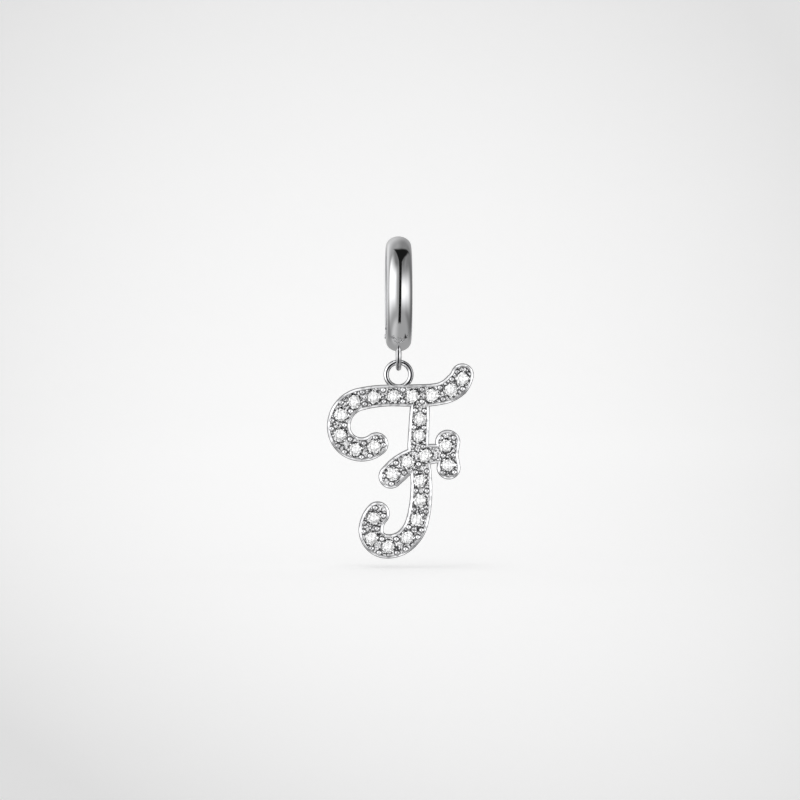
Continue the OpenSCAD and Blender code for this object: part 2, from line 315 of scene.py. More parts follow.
# %% Mesh helpers
def link(name, mesh):
    made = bpy.data.objects.new(name, mesh)
    bpy.context.scene.collection.objects.link(made)
    return made


def build(name, points, faces):
    """An object of these points and faces, with its faces turned outwards."""
    mesh = bpy.data.meshes.new(name)
    mesh.from_pydata([tuple(p) for p in points], [], faces)
    shape = bmesh.new()
    shape.from_mesh(mesh)
    bmesh.ops.recalc_face_normals(shape, faces=shape.faces)
    shape.to_mesh(mesh)
    shape.free()
    return link(name, mesh)


def loft(name, rings, closed=False):
    """A solid through rings of points, each with as many points as the next."""
    size = len(rings[0])
    points = [p for ring in rings for p in ring]
    faces = []
    for i in range(len(rings) if closed else len(rings) - 1):
        a, b = i * size, (i + 1) % len(rings) * size
        faces += [(a + k, a + (k + 1) % size, b + (k + 1) % size, b + k) for k in range(size)]
    if not closed:
        faces += [tuple(range(size)), tuple(range(len(points) - size, len(points)))]
    return build(name, points, faces)


def circle(r, z, sides):
    """Points on a level circle about the z axis."""
    return [
        Vector((r * math.cos(math.tau * k / sides), r * math.sin(math.tau * k / sides), z))
        for k in range(sides)
    ]


def lathe(profile, sides):
    """Points and faces of a solid turned about z. The profile starts and ends on the axis."""
    inner = profile[1:-1]
    points = [Vector((0, 0, profile[0][1]))]
    for r, z in inner:
        points += circle(r, z, sides)
    points.append(Vector((0, 0, profile[-1][1])))
    faces = []
    for k in range(sides):
        after = (k + 1) % sides
        faces.append((0, 1 + after, 1 + k))
        last = 1 + (len(inner) - 1) * sides
        faces.append((len(points) - 1, last + k, last + after))
        for i in range(len(inner) - 1):
            a, b = 1 + i * sides, 1 + (i + 1) * sides
            faces.append((a + k, a + after, b + after, b + k))
    return points, faces


# %% [markdown]
# The paper has a painted glow, light in its own colour that no lamp gives. The
# photo is brightest in the middle and falls off to the corners, and painted shade
# that follows the picture, in the glow and in the paper's colour, gives that at
# once, where lamps would need many trials. One soft lamp above adds the shadow
# under the letter.

# %% Floor, wall and lamp
FLOOR_DROP = 0.9 * MM
FLOOR_R, WALL_R, WALL_H = 0.45, 0.8, 1.2
BOWL_SIDES, BEND_STEP = 96, 6

floor_z = cad_low.z - FLOOR_DROP
bend = WALL_R - FLOOR_R
curve = [
    (FLOOR_R + bend * math.sin(math.radians(a)), bend * (1 - math.cos(math.radians(a))))
    for a in range(0, 91, BEND_STEP)
]
rings = [circle(r, floor_z + z, BOWL_SIDES) for r, z in [(0.02, 0), (0.1, 0)] + curve + [(WALL_R, WALL_H)]]
faces = [tuple(range(BOWL_SIDES))]
for i in range(len(rings) - 1):
    a, b = i * BOWL_SIDES, (i + 1) * BOWL_SIDES
    faces += [(a + k, a + (k + 1) % BOWL_SIDES, b + (k + 1) % BOWL_SIDES, b + k) for k in range(BOWL_SIDES)]
bowl = build("bowl", [p for ring in rings for p in ring], faces)
for polygon in bowl.data.polygons:
    polygon.use_smooth = True
bowl.visible_glossy = bowl.visible_transmission = False
bowl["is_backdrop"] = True

GLOW_FLOOR, GLOW_WALL, FAR_LIFT = 0.41, 0.64, 0.072
EDGE_LOSS, MOST_LOSS, LEAN = 0.105, 0.22, 0.05

material, net = new_material("pale paper")
coordinates = net.add("ShaderNodeTexCoord")
parts = net.add("ShaderNodeSeparateXYZ", {}, {0: net.out(coordinates, "Object")})
depth = net.out(parts, 1) - camera.location.y
side = (net.out(parts, 0) - aim.x) / depth
height = (net.out(parts, 2) - camera.location.z) / depth + math.tan(ELEVATION)
half_picture = SENSOR / LENS / 2
out_of_middle = (side * side + height * height) / (half_picture * half_picture)
# Painted shade: the paper's colour and its glow fall off towards the corners of the picture.
painted_corner_shade = (out_of_middle * EDGE_LOSS).math("MINIMUM", MOST_LOSS)
fibre = net.noise(60, 3.0)
shade = (1 - painted_corner_shade) * (0.995 + fibre * 0.01)
paper_grey_shaded = net.add("ShaderNodeCombineColor", {}, {0: shade * 0.8, 1: shade * 0.8, 2: shade * 0.8})
# Painted light: the paper glows, brighter on the wall, on the far floor and towards the right.
on_wall = net.out(parts, 2).step(floor_z + 0.1, floor_z + 0.45)
far = net.out(parts, 1).step(0, FLOOR_R)
glow = GLOW_FLOOR + far * FAR_LIFT + on_wall * (GLOW_WALL - GLOW_FLOOR)
to_right = (side / half_picture).math("MINIMUM", 1.5).math("MAXIMUM", -1.5)
light = shade * glow * (1 + far * to_right * LEAN)
glowing = net.add("ShaderNodeCombineColor", {}, {0: light, 1: light, 2: light})
finish_material(net, {
    "Base Color": net.out(paper_grey_shaded, 0),
    "Roughness": 0.9,
    "Specular IOR Level": 0.0,
    "Emission Color": net.out(glowing, 0),
    "Emission Strength": 1.0,
})
bowl.data.materials.append(material)


def lamp(name, place, size, power, receivers=None):
    """A square soft light, aimed at the pendant.

    Without receivers it lights the paper and mirror rays don't see it. With them
    it lights only those pieces, which see it as a bright card.
    """
    data = bpy.data.lights.new(name, "AREA")
    data.shape, data.size, data.energy = "SQUARE", size, power
    made = bpy.data.objects.new(name, data)
    made.location = place
    made.rotation_euler = (aim - Vector(place)).to_track_quat("-Z", "Y").to_euler()
    made.visible_camera = False
    if receivers is None:
        made.visible_glossy = made.visible_transmission = False
    else:
        made.light_linking.receiver_collection = receivers
    bpy.context.scene.collection.objects.link(made)
    return made


TOP_PLACE, TOP_SIZE, TOP_POWER = (-0.05, -0.03, 0.5), 0.25, 0.6

lamp("top light", TOP_PLACE, TOP_SIZE, TOP_POWER)
print(f"floor {floor_z / MM:.2f} mm, bowl {len(bowl.data.polygons)} faces")

# %% [markdown]
# ## Silver
# Rhodium-plated silver is a bright, slightly cool metal. Under a loupe it is
# never perfect: a polishing cloth leaves faint hazy patches and fine lines.
# The sunk field between the beads gets dark specks that are partly painted shade,
# and the steep faces beside it a painted dark reflection. Two attributes on the
# letter tell where the seats and the steep faces are.

# %% The polished metal
SILVER_DEEP, SILVER_LIGHT = (0.88, 0.885, 0.90, 1), (0.93, 0.93, 0.94, 1)
POLISH, SATIN = 0.05, 0.5
PATCH_SCALE, LINE_SCALE, LINE_RELIEF, RELIEF_H = 700, 5000, 0.1, 0.02 * MM


def silver(name, haze, relief, sunk=False, satin=False):
    """Polished silver. Sunk adds the letter's rubbed wear, cast skin and painted shade, and satin the hoop's
    satin inside and the painted dark line on the loop.
    """
    material, net = new_material(name)
    patches = net.noise(PATCH_SCALE, 3.0)
    lines = net.noise(LINE_SCALE, 2.0, stretch=(1, 1, 6))
    rough = POLISH + patches * haze
    colour = net.mix(patches, SILVER_DEEP, SILVER_LIGHT)
    height = lines * LINE_RELIEF
    if sunk:
        colour, rough = wear_and_painted_shade(net, colour, rough)
        height = height + cast_skin(net)
    if satin:
        rough = rough + inside_hoop(net) * SATIN
        # A painted reflection: the dark line along the loop's wire.
        colour = net.mix(painted_line_on_loop(net), colour, PAINTED_WIRE_LINE)
    bump = net.add("ShaderNodeBump", {}, {"Strength": relief, "Distance": RELIEF_H, "Height": height})
    finish_material(net, {
        "Base Color": colour,
        "Metallic": 1.0,
        "Roughness": rough,
        "Normal": net.out(bump, 0),
    })
    return material


def place_in(net):
    """Where a point lies: to the right, to the rear and above the origin."""
    coordinates = net.add("ShaderNodeTexCoord")
    parts = net.add("ShaderNodeSeparateXYZ", {}, {0: net.out(coordinates, "Object")})
    return [net.out(parts, i) for i in range(3)]


# %% [markdown]
# The inner face of the hoop keeps a satin finish. The wire of the loop and of
# the ring is round, so it shows the dark lens as a thin line along its length.
# That line is a painted reflection in the colour here, because it is too thin
# for a reflection to draw it cleanly. The sides of the ring's wire get a painted
# dark reflection too.

# %% Marks and painted reflections on the hoop and the wires
# Painted reflections: the dark line along the wires, and the darker sides of the ring's wire.
PAINTED_WIRE_LINE, PAINTED_WIRE_EDGE = (0.03, 0.03, 0.035, 1), (0.3, 0.3, 0.31, 1)
INNER_REACH = (0.05 * MM, 0.12 * MM)
LOOP_REACH = (0.01 * MM, 0.03 * MM)
LOOP_LINE, LOOP_LINE_SOFT = (-0.12 * MM, -0.04 * MM), 0.03 * MM
RING_LINE, RING_LINE_SOFT, RING_LINE_LEAN = (-0.2, 0.27), 0.12, 0.15
SOLDER_H = 0.3 * MM


def from_hoop_axis(net):
    _, behind, level = place_in(net)
    return (behind * behind + (level - HOOP_CENTRE.z) * (level - HOOP_CENTRE.z)).math("SQRT")


def inside_hoop(net):
    """1 on the inner face of the hoop, which a wheel can't reach, and 0 elsewhere."""
    return 1 - from_hoop_axis(net).step(*(HOOP_INNER + reach for reach in INNER_REACH))


def painted_line_on_loop(net):
    """1 on the painted dark reflection along the loop's wire, a little to the left of its middle."""
    aside = place_in(net)[0]
    on_loop = from_hoop_axis(net).step(*(HOOP_OUTER + reach for reach in LOOP_REACH))
    return on_loop * aside.between(*LOOP_LINE, LOOP_LINE_SOFT)


def in_wire(net):
    """Across the ring's wire: -1 at its inner edge and 1 at its outer edge."""
    aside, _, level = place_in(net)
    return ((aside * aside + (level - RING_Z) * (level - RING_Z)).math("SQRT") - LINK_R) / WIRE_R


def ring_mask(net):
    """1 on the ring above its solder, 0 elsewhere."""
    level = place_in(net)[2]
    bare = level.step(RING_Z - LINK_R, RING_Z - LINK_R + SOLDER_H)
    return bare * (1 - in_wire(net).math("ABSOLUTE").step(1.05, 1.3))


# %% [markdown]
# The letter's field keeps the grainy skin of the casting, in dark and bright
# specks that are partly its grain and partly painted shade of the sunk field.
# Faces that lean away from the front get a painted dark reflection of the room,
# and the faces a little behind the front, other than the field, and the tops of
# the seats get painted shade. The rim is a little worn, which breaks its white
# line as on the real one.

# %% Marks and painted shade on the letter
STEEP = (0.2, 0.4)
FIELD_REACH, FIELD_SOFT = 0.02 * MM, 0.01 * MM
FRONT_ZONE, FOOT_ZONE = (0.18 * MM, 0.25 * MM), (0.07 * MM, 0.09 * MM)
SEAT_ZONE = (0.05 * MM, 0.2 * MM)
CAST_SCALE, CAST_RELIEF, CAST_ROUGH = 4500, 6, 0.1
# The field's dark colour is partly cast grain and partly painted shade.
CAST_GRAIN_AND_SHADE, CAST_BRIGHT = (0.06, 0.06, 0.065, 1), (0.95, 0.95, 0.96, 1)
RUB_SCALE, RUB_TINT = 1500, (0.55, 0.55, 0.56, 1)
# Painted dark reflection and painted shade for the steep faces, and painted shade for the seats.
PAINTED_SIDE_DARK, PAINTED_SEAT_SHADE = (0.13, 0.13, 0.135, 1), (0.04, 0.04, 0.045, 1)


def field_mask(net):
    """1 on the sunk field, 0 elsewhere."""
    depth = place_in(net)[1]
    on_field = depth.between(-FIELD - FIELD_REACH, -FIELD + FIELD_REACH, FIELD_SOFT)
    return on_field * (1 - ring_mask(net))


def cast_skin(net):
    """The relief of the grainy skin that casting leaves on the field."""
    return net.noise(CAST_SCALE, 2.0) * field_mask(net) * CAST_RELIEF


def wear_and_painted_shade(net, colour, rough):
    """The rubbed wear, and the painted shade and painted dark reflections on the field, the steep faces, the
    seats and the ring's wire.
    """
    aside, depth, _ = place_in(net)
    seat, tilt = (
        net.out(net.add("ShaderNodeAttribute", {"attribute_name": mark}), "Fac") for mark in ("seat", "tilt")
    )
    on_ring, field = ring_mask(net), field_mask(net)
    near_front = (1 - depth.step(*(reach - FRONT for reach in FRONT_ZONE))) * (1 - on_ring)
    shaded_foot = depth.step(*(reach - FRONT for reach in FOOT_ZONE)) * (1 - field)
    rub = net.noise(RUB_SCALE, 1.0).step(0.45, 0.65)
    cast = net.noise(CAST_SCALE, 2.0).step(0.38, 0.56)
    colour = net.mix(rub * near_front, colour, RUB_TINT)
    # Partly painted shade: the field's dark and bright specks stand for its cast grain and for the shade of
    # the sunk field.
    colour = net.mix(field, colour, net.mix(cast, CAST_GRAIN_AND_SHADE, CAST_BRIGHT))
    # Painted dark reflection on faces that lean away from the front, and painted shade on the faces a little
    # behind the front, other than the field.
    colour = net.mix(tilt.step(*STEEP).math("MAXIMUM", shaded_foot) * near_front, colour, PAINTED_SIDE_DARK)
    line = in_wire(net) - aside * (RING_LINE_LEAN / LINK_R)
    # A painted reflection: the dark line along the ring's wire.
    colour = net.mix(line.between(*RING_LINE, RING_LINE_SOFT) * on_ring, colour, PAINTED_WIRE_LINE)
    # A painted dark reflection along both sides of the ring's wire.
    colour = net.mix(in_wire(net).math("ABSOLUTE").step(0.7, 0.9) * on_ring, colour, PAINTED_WIRE_EDGE)
    # Painted shade on the tops of the seats round the stones.
    shaded_seat_top = seat * (1 - depth.step(*(reach - GIRDLE for reach in SEAT_ZONE)))
    return net.mix(shaded_seat_top, colour, PAINTED_SEAT_SHADE), rough + field * CAST_ROUGH


hoop_silver = silver("silver of the hoop", haze=0.04, relief=0.1, satin=True)
letter_silver = silver("silver of the letter", haze=0.05, relief=1.0, sunk=True)
print("metals:", hoop_silver.name, "and", letter_silver.name)

# %% [markdown]
# ## Stones
# The stones are cut like diamonds. Light goes in through the table, turns back
# off the pavilion and comes out again, and each facet shows another part of
# the studio. A high index of refraction does that by itself. The table alone
# has a clear coat, for its white flash. The facets of the crown get painted dark
# reflections in spots, for the black flashes of a real crown, which flickers
# between black and white.

# %% The clear stones
STONE_R, CROWN = 0.775 * MM, 0.19 * MM
TABLE_Y = -GIRDLE - CROWN
CLOUD_SCALE, SPOT_SCALE = 3000, 4500
# The crown's dark colour is a painted dark reflection.
CLEAR_DEEP, CLEAR_LIGHT, CROWN_PAINTED_DARK = (0.97, 0.975, 0.98, 1), (1, 1, 1, 1), (0.001, 0.001, 0.0012, 1)

material, net = new_material("clear stone")
cloud = net.noise(CLOUD_SCALE, 2.0)
depth = place_in(net)[1]
crown = depth.between(TABLE_Y + 0.03 * MM, -GIRDLE, 0.01 * MM)
spots = net.noise(SPOT_SCALE, 1.0).step(0.5, 0.58)
clear = net.mix(cloud, CLEAR_DEEP, CLEAR_LIGHT)
finish_material(net, {
    # Painted dark reflections in spots on the crown facets.
    "Base Color": net.mix(crown * (1 - spots), clear, CROWN_PAINTED_DARK),
    "Roughness": cloud * 0.01,
    "IOR": 2.16,
    "Transmission Weight": 1.0,
    "Coat Weight": 1 - depth.step(TABLE_Y + 0.005 * MM, TABLE_Y + 0.02 * MM),
    "Coat Roughness": 0.02,
    "Coat IOR": 3.6,
})
stones = sorted(name for name in frame["nodes"] if name.startswith("stone_"))
for name in stones:
    frame["nodes"][name].material_slots[0].material = material
print(len(stones), "stones")

# %% [markdown]
# ## Cutting and joining
# A jeweller saws, drills and solders. The same is done here with booleans on
# closed meshes, by the solver that keeps them closed. The result gets smooth
# faces that break only at real edges, with each corner's normal weighted
# towards the larger face, so that flat parts stay flat in a reflection.

# %% Booleans and shading
def work(target, tools, operation):
    """Cuts the tools from a solid or joins them to it, and clears them away."""
    for tool in tools:
        step = target.modifiers.new(tool.name, "BOOLEAN")
        step.operation, step.solver, step.object = operation, "MANIFOLD", tool
    graph = bpy.context.evaluated_depsgraph_get()
    mesh = bpy.data.meshes.new_from_object(target.evaluated_get(graph))
    target.modifiers.clear()
    target.data = mesh
    for tool in tools:
        bpy.data.objects.remove(tool)
    return target


def polish(piece, material, angle=35):
    """Smooth faces with real edges kept, in one material."""
    mesh = piece.data
    mesh.materials.clear()
    mesh.materials.append(material)
    for polygon in mesh.polygons:
        polygon.use_smooth = True
        polygon.material_index = 0
    mesh.set_sharp_from_angle(angle=math.radians(angle))
    weigh = piece.modifiers.new("weights", "WEIGHTED_NORMAL")
    weigh.keep_sharp = True
    graph = bpy.context.evaluated_depsgraph_get()
    piece.data = bpy.data.meshes.new_from_object(piece.evaluated_get(graph))
    piece.modifiers.clear()
    return piece


def box(name, low, high, place):
    """A box between two corners, brought to its place by a matrix."""
    sides = list(zip(low, high))
    corners = [Vector((x, y, z)) for x in sides[0] for y in sides[1] for z in sides[2]]
    faces = [(0, 1, 3, 2), (4, 6, 7, 5), (0, 4, 5, 1), (2, 3, 7, 6), (0, 2, 6, 4), (1, 5, 7, 3)]
    return build(name, [place @ p for p in corners], faces)


def torus(name, radius, wire_r, place, around=96, across_n=32):
    """A ring of round wire about the z axis of its place."""
    rings = []
    for i in range(around):
        a = math.tau * i / around
        rings.append([
            place @ Vector((
                (radius + wire_r * math.cos(math.tau * k / across_n)) * math.cos(a),
                (radius + wire_r * math.cos(math.tau * k / across_n)) * math.sin(a),
                wire_r * math.sin(math.tau * k / across_n),
            ))
            for k in range(across_n)
        ])
    return loft(name, rings, closed=True)


# %% [markdown]
# ## The hoop
# The band is a dome on a short wall, turned about the hoop's axis. Angles run
# from the bottom of the hoop towards its rear, as a jeweller would scribe them.
# The same section gives the fixed front and the leaf that opens.

# %% The band
KNUCKLE_R = 0.54 * BAND_T
KNUCKLE_ANGLE = 12
DOME_STEPS, CORNER_STEPS = 56, 5

hoop_frame = Matrix.Translation(HOOP_CENTRE) @ Matrix.Rotation(math.radians(90), 4, "Y")


def band_section():
    """Points (radius, side) round the band."""
    base = HOOP_OUTER - DOME
    dome = [
        (base + DOME * math.cos(a), BAND_HALF * math.sin(a))
        for a in (math.pi * (k / DOME_STEPS - 0.5) for k in range(DOME_STEPS + 1))
    ]
    upper = [
        (HOOP_INNER + BEVEL * (1 - math.sin(a)), BAND_HALF - BEVEL * (1 - math.cos(a)))
        for a in (math.pi / 2 * k / CORNER_STEPS for k in range(CORNER_STEPS + 1))
    ]
    lower = [(r, -side) for r, side in reversed(upper)]
    return dome + upper + lower


def band(name, start, end):
    section = band_section()
    count = math.ceil((end - start) / 1.5)
    rings = []
    for i in range(count + 1):
        a = math.radians(start + (end - start) * i / count)
        rings.append([hoop_frame @ Vector((r * math.cos(a), r * math.sin(a), side)) for r, side in section])
    return loft(name, rings)


def on_band(angle):
    """A frame on the band's middle line: x outwards, y along the band, z across it."""
    return hoop_frame @ Matrix.Rotation(math.radians(angle), 4, "Z") @ Matrix.Translation((HOOP_MID, 0, 0))


def post(name, radius, half, place, sides=64):
    profile = [(0, -half), (radius, -half), (radius, half), (0, half)]
    points, faces = lathe(profile, sides)
    return build(name, [place @ p for p in points], faces)


print("band section of", len(band_section()), "points")

# %% [markdown]
# The hinge is a knuckle: two ears on the front, a tongue on the leaf between
# them, and a pin through all three. Each part is cut as in the solid, so the
# leaf still swings free.

# %% Hinge and catch
PIN_R, PIN_GAP = 0.25 * MM, 0.03 * MM
TONGUE_HALF, TONGUE_GAP = 0.47 * MM, 0.03 * MM
KNUCKLE_SPACE = KNUCKLE_R + 0.05 * MM
TAB_WALL, TAB_T, TAB_L = 0.17 * BAND_T, 0.32 * MM, 0.6 * MM
TAB_HALF, TAB_ROOT, TAB_LIFT, TAB_GAP = 0.44 * BAND_HALF, 0.33 * BAND_T, 0.35 * BAND_T, 0.05 * MM
OVER = BAND_T

at_hinge = on_band(HINGE_AT)
at_catch = hoop_frame @ Matrix.Rotation(math.radians(CATCH_AT), 4, "Z")
gap_angle = math.degrees(CATCH_GAP / 2 / HOOP_MID)


def beyond_pin(side):
    """What is cut away beyond the pin, so that a round knuckle is left."""
    reach = 2 * BAND_T
    low, high = (-reach, min(0, side * reach), -2 * BAND_HALF), (reach, max(0, side * reach), 2 * BAND_HALF)
    block = box("beyond", low, high, at_hinge)
    return work(block, [post("knuckle", KNUCKLE_R, 3 * BAND_HALF, at_hinge, 96)], "DIFFERENCE")


def pin_bore():
    return post("bore", PIN_R + PIN_GAP, 2 * BAND_HALF, at_hinge)


slot = box(
    "slot",
    (-BAND_T, -KNUCKLE_SPACE, -TONGUE_HALF - TONGUE_GAP),
    (BAND_T, 2 * BAND_T, TONGUE_HALF + TONGUE_GAP),
    at_hinge,
)
pocket = box(
    "pocket",
    (HOOP_INNER + TAB_WALL - TAB_GAP, -OVER / 2, -TAB_HALF - TAB_GAP),
    (HOOP_INNER + TAB_WALL + TAB_T + TAB_LIFT + TAB_GAP, CATCH_GAP / 2 + TAB_L + TAB_GAP, TAB_HALF + TAB_GAP),
    at_catch,
)
loop_place = Matrix.Translation((0, 0, LOOP_Z)) @ Matrix.Rotation(math.radians(90), 4, "Y")

hoop_front = band("bail_front", CATCH_AT + gap_angle, 360 + HINGE_AT + KNUCKLE_ANGLE)
work(hoop_front, [beyond_pin(1), slot, pin_bore(), pocket], "DIFFERENCE")
work(hoop_front, [torus("loop", LINK_R, WIRE_R, loop_place)], "UNION")
polish(hoop_front, hoop_silver)
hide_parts("hoop_front")
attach(hoop_front, "hoop")
print("hoop front:", len(hoop_front.data.polygons), "faces")

# %% [markdown]
# The leaf is the same band between the hinge and the catch. A flat tab at its
# end snaps into the pocket of the front. The pin is a rod with rounded ends,
# turned on the lathe.

# %% The leaf and the pin
tab = box(
    "tab",
    (HOOP_INNER + TAB_WALL, -CATCH_GAP / 2 - TAB_ROOT, -TAB_HALF),
    (HOOP_INNER + TAB_WALL + TAB_T, TAB_L, TAB_HALF),
    at_catch,
)
ears = [
    box("ear", (-BAND_T, -KNUCKLE_SPACE, low), (BAND_T, KNUCKLE_SPACE, high), at_hinge)
    for low, high in ((TONGUE_HALF, 2 * BAND_HALF), (-2 * BAND_HALF, -TONGUE_HALF))
]
hoop_gate = band("bail_gate", HINGE_AT - KNUCKLE_ANGLE, CATCH_AT - gap_angle)
work(hoop_gate, [tab], "UNION")
work(hoop_gate, [beyond_pin(-1), *ears, pin_bore()], "DIFFERENCE")
polish(hoop_gate, hoop_silver)
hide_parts("hoop_gate")
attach(hoop_gate, "gate")

PIN_EDGE = 0.06 * MM
pin_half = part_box("hinge_pin")[1].x
profile = [(0, -pin_half)]
profile += [
    (PIN_R - PIN_EDGE * (1 - math.sin(a)), -pin_half + PIN_EDGE * (1 - math.cos(a)))
    for a in (math.pi / 2 * k / 4 for k in range(5))
]
profile += [(r, -z) for r, z in reversed(profile)]
points, faces = lathe(profile, 48)
hinge_pin = build("bail_pin", [at_hinge @ p for p in points], faces)
polish(hinge_pin, hoop_silver)
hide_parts("hinge_pin")
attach(hinge_pin, "hoop")
print("gate:", len(hoop_gate.data.polygons), "faces, pin:", len(hinge_pin.data.polygons))

# %% [markdown]
# ## The strokes of the letter
# A cursive letter is drawn by a pen that turns smoothly, so each stroke is a
# middle line made of arcs, with a half-width that swells and narrows. A row
# holds a length, a turn in degrees and the half-width at its end. Lengths are
# in percent of the letter's height.

# %% The strokes
STROKES = {
    "flag and bar": {
        "start": (32.7, -0.1, 253.5, 5.8),
        "rows": [
            (6.0, -28, 6.4), (9.9, -34.5, 5.7), (9.1, -10.7, 5.8), (15.3, -0.8, 5.5), (16.7, 14, 5.8),
            (20.8, 84, 6.0), (17.9, 88, 6.15), (7.2, 34, 6.0),
        ],
        "stones": [
            (1.7, 0.8), (9.7, 0.15), (19.4, 0.3), (29.2, 0.4), (38.6, 0.4), (48.5, 0.25), (58.6, 0.1),
            (68.1, 0), (78.2, -0.2), (88.8, -0.35), (98.3, -0.35),
        ],
        "beads": [
            (0.68, 0.5), (0.68, -0.5), (1.45, -0.58), (1.45, 0.6), (2.5, -0.53), (2.5, 0.53), (3.5, -0.53),
            (3.5, 0.53), (4.5, -0.53), (4.5, 0.53), (5.5, -0.53), (5.5, 0.53), (6.5, -0.55), (6.5, 0.53),
            (7.5, -0.6), (7.5, 0.53), (8.34, -0.63), (8.66, -0.63), (8.5, 0.5), (9.34, -0.63),
            (9.66, -0.63), (9.5, 0.5), (10.33, -0.63), (10.67, -0.63), (10.5, 0.5), (11.4, 0.48),
            (11.4, -0.48),
        ],
    },
    "stem": {
        "start": (11.2, -10.8, 267, 4.9),
        "rows": [
            (24.2, 0.7, 5.4), (9.3, 11.6, 5.4), (9.3, -6.6, 5.4), (10.4, -6.9, 5.6), (12.0, -11, 5.8),
            (11.4, -35.8, 5.9), (10.9, -46, 6.2), (12.5, -86, 6.3), (9.0, -40, 6.1),
        ],
        "stones": [
            (11.0, 0.4), (18.9, 0.2), (40.1, -0.9), (49.4, -0.55), (58.8, -0.5), (68.6, -0.5), (79.0, 0.2),
            (87.8, 0.7), (97.2, 0.25),
        ],
        "beads": [
            (0.5, -0.45), (0.5, 0.5), (1.5, -0.5), (1.5, 0.5), (2.24, -0.56), (2.24, 0.5), (2.8, -0.5),
            (2.8, 0.6), (3.5, -0.53), (3.5, 0.53), (4.5, -0.55), (4.5, 0.6), (5.5, -0.53), (5.36, 0.62),
            (5.68, 0.62), (6.5, -0.5), (6.34, 0.63), (6.66, 0.63), (7.5, -0.5), (7.34, 0.63), (7.66, 0.63),
            (8.5, -0.5), (8.34, 0.63), (8.66, 0.63), (9.45, -0.48), (9.4, 0.5),
        ],
    },
    "cross arm": {
        "start": (-4.0, -52.2, 44.5, 6.2),
        "rows": [
            (4.8, -1, 6.4), (22.6, -42.5, 4.9), (4.1, 0, 5.0),
        ],
        "stones": [
            (5.1, 0.2), (36.5, 0.2), (66.4, -0.3),
        ],
        "beads": [
            (0.6, -0.48), (0.6, 0.48), (1.5, -0.53), (1.5, 0.53), (2.5, -0.6),
        ],
    },
    "bow": {
        "start": (25.2, -34.7, -88, 6.35),
        "rows": [
            (6.5, 0, 5.1), (6.5, 0, 6.05),
        ],
        "stones": [
            (13.3, -1.1), (89.8, -0.2),
        ],
        "beads": [
            (0.6, 0.48), (0.6, -0.5), (1.5, 0.53), (1.5, -0.5), (2.38, 0.45), (2.38, -0.45),
        ],
    },
}
print({name: sum(row[0] for row in stroke["rows"]) for name, stroke in STROKES.items()})

# %% [markdown]
# A walk along the arcs gives the place and the heading at any share of a
# stroke. The outline, the stones and the beads all use that one walk, so they
# stay together when a row changes.

# %% Walking along a stroke
def along(state, length, turn, half):
    """Where an arc of that length and turn leads from a state (x, y, heading, half-width)."""
    x, y, heading, _ = state
    h, bend = math.radians(heading), math.radians(turn)
    if abs(turn) < 0.01:
        dx, dy = length * math.cos(h), length * math.sin(h)
    else:
        r = length / bend
        dx, dy = r * (math.sin(h + bend) - math.sin(h)), r * (math.cos(h) - math.cos(h + bend))
    return (x + dx, y + dy, heading + turn, half)


def part_of(state, row, part):
    length, turn, half = row
    return along(state, length * part, turn * part, state[3] + part * (half - state[3]))


def stroke_at(stroke, percent):
    """The state at a share of a stroke's length, also a little past its ends."""
    state, rows = stroke["start"], stroke["rows"]
    left = percent / 100 * sum(row[0] for row in rows)
    for row in rows[:-1]:
        if left <= row[0]:
            return part_of(state, row, left / row[0])
        left -= row[0]
        state = along(state, *row)
    return part_of(state, rows[-1], left / rows[-1][0])


def steps_of(stroke, degrees):
    """Close steps along a stroke, each turning by at most that many degrees."""
    state, steps = stroke["start"], []
    for row in stroke["rows"]:
        count = max(2, math.ceil(abs(row[1]) / degrees))
        steps += [part_of(state, row, k / count) for k in range(count)]
        state = along(state, *row)
    return steps + [state]


def beside(state, aside):
    """A point to the left of the middle line, in metres."""
    h = math.radians(state[2])
    return (SHARE * (state[0] - aside * math.sin(h)), SHARE * (state[1] + aside * math.cos(h)))


def round_end(state, first, cut, count):
    points = []
    for k in range(1, count):
        a = math.radians(state[2] + first - 180 * k / count)
        r = state[3] - cut
        points.append((SHARE * (state[0] + r * math.cos(a)), SHARE * (state[1] + r * math.sin(a))))
    return points


def outline(stroke, inset, degrees=2.5, ends=40):
    """The outline of a stroke, drawn in by an inset in metres."""
    steps, cut = steps_of(stroke, degrees), inset / SHARE
    left = [beside(s, s[3] - cut) for s in steps]
    right = [beside(s, cut - s[3]) for s in reversed(steps)]
    return left + round_end(steps[-1], 90, cut, ends) + right + round_end(steps[0], -90, cut, ends)


def upright(x, y, z):
    """From the letter's own frame, z towards the viewer, to the pendant's."""
    return Vector((x, -z, RING_Z + y))


def stroke_solid(name, stroke, section):
    """A solid through outlines, one for each (inset, height) of the section."""
    rings = [[upright(x, y, z) for x, y in outline(stroke, inset)] for inset, z in section]
    return loft(name, rings)


print("outline of the bar:", len(outline(STROKES["flag and bar"], 0)), "points")

# %% [markdown]
# ## The cast body
# Seen from the front the letter is a polished rim round a sunk field. The rim
# is rounded by the polishing wheel, so the section of each stroke has a round
# shoulder outside and a smaller one inside. Four strokes are joined, then the
# field is cut out of the whole.

# %% The rimmed plate
EDGE_R, INNER_R, BACK_R, ROUND_STEPS = 0.1 * MM, 0.08 * MM, 0.12 * MM, 6
RIM_SLOPE = 0.07 * MM
quarter = [math.pi / 2 * k / ROUND_STEPS for k in range(ROUND_STEPS + 1)]

